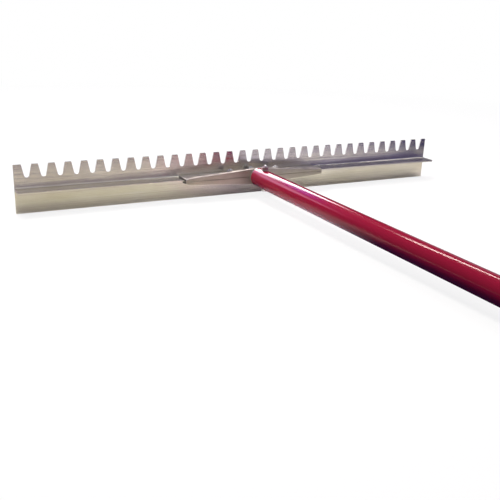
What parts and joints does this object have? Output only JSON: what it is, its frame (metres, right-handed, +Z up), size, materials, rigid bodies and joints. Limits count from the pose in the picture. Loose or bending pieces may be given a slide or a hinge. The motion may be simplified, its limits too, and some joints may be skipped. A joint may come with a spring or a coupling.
{
  "type": "lute rake",
  "caption": "Lute rake for asphalt and concrete: T-section blade with rake teeth on one edge and a straight edge on the other, bolted centre brace and a long tubular handle.",
  "frame": {"origin": "middle of the straight edge's bottom face, half-way through the plate", "axes": "+X along the blade to the right as seen from the handle, -Y along the handle towards its free end, +Z up towards the tooth tips"},
  "size_m": [0.9144, 2.1892, 0.0875],
  "materials": {
    "blade_metal": "mill finish extrusion, semi-mirror with fine lengthwise draw lines",
    "brace_metal": "cast and linished, dull satin",
    "zinc_steel": "zinc plated",
    "spring_steel": "plated spring steel",
    "handle_paint": "gloss red enamel",
    "cap_plastic": "moulded black plastic"
  },
  "bodies": {
    "tool": {"blade": "blade_metal", "upper_brace": "brace_metal", "lower_brace": "brace_metal", "left_brace_bolt": "zinc_steel", "middle_brace_bolt": "zinc_steel", "right_brace_bolt": "zinc_steel", "left_brace_nut": "zinc_steel", "middle_brace_nut": "zinc_steel", "right_brace_nut": "zinc_steel", "left_upper_washer": "zinc_steel", "middle_upper_washer": "zinc_steel", "right_upper_washer": "zinc_steel", "left_lower_washer": "zinc_steel", "middle_lower_washer": "zinc_steel", "right_lower_washer": "zinc_steel", "handle_tube": "handle_paint", "handle_bolt": "zinc_steel", "handle_lock_washer": "spring_steel", "handle_end_cap": "cap_plastic"},
    "handle_nut": {"handle_nut": "zinc_steel"}
  },
  "joints": [
    {"name": "handle_nut_turn", "type": "hinge", "parent": "tool", "child": "handle_nut", "pos_m": [0, -0.0726, 0.06125], "axis": [0, 0, 1], "continuous": true}
  ]
}
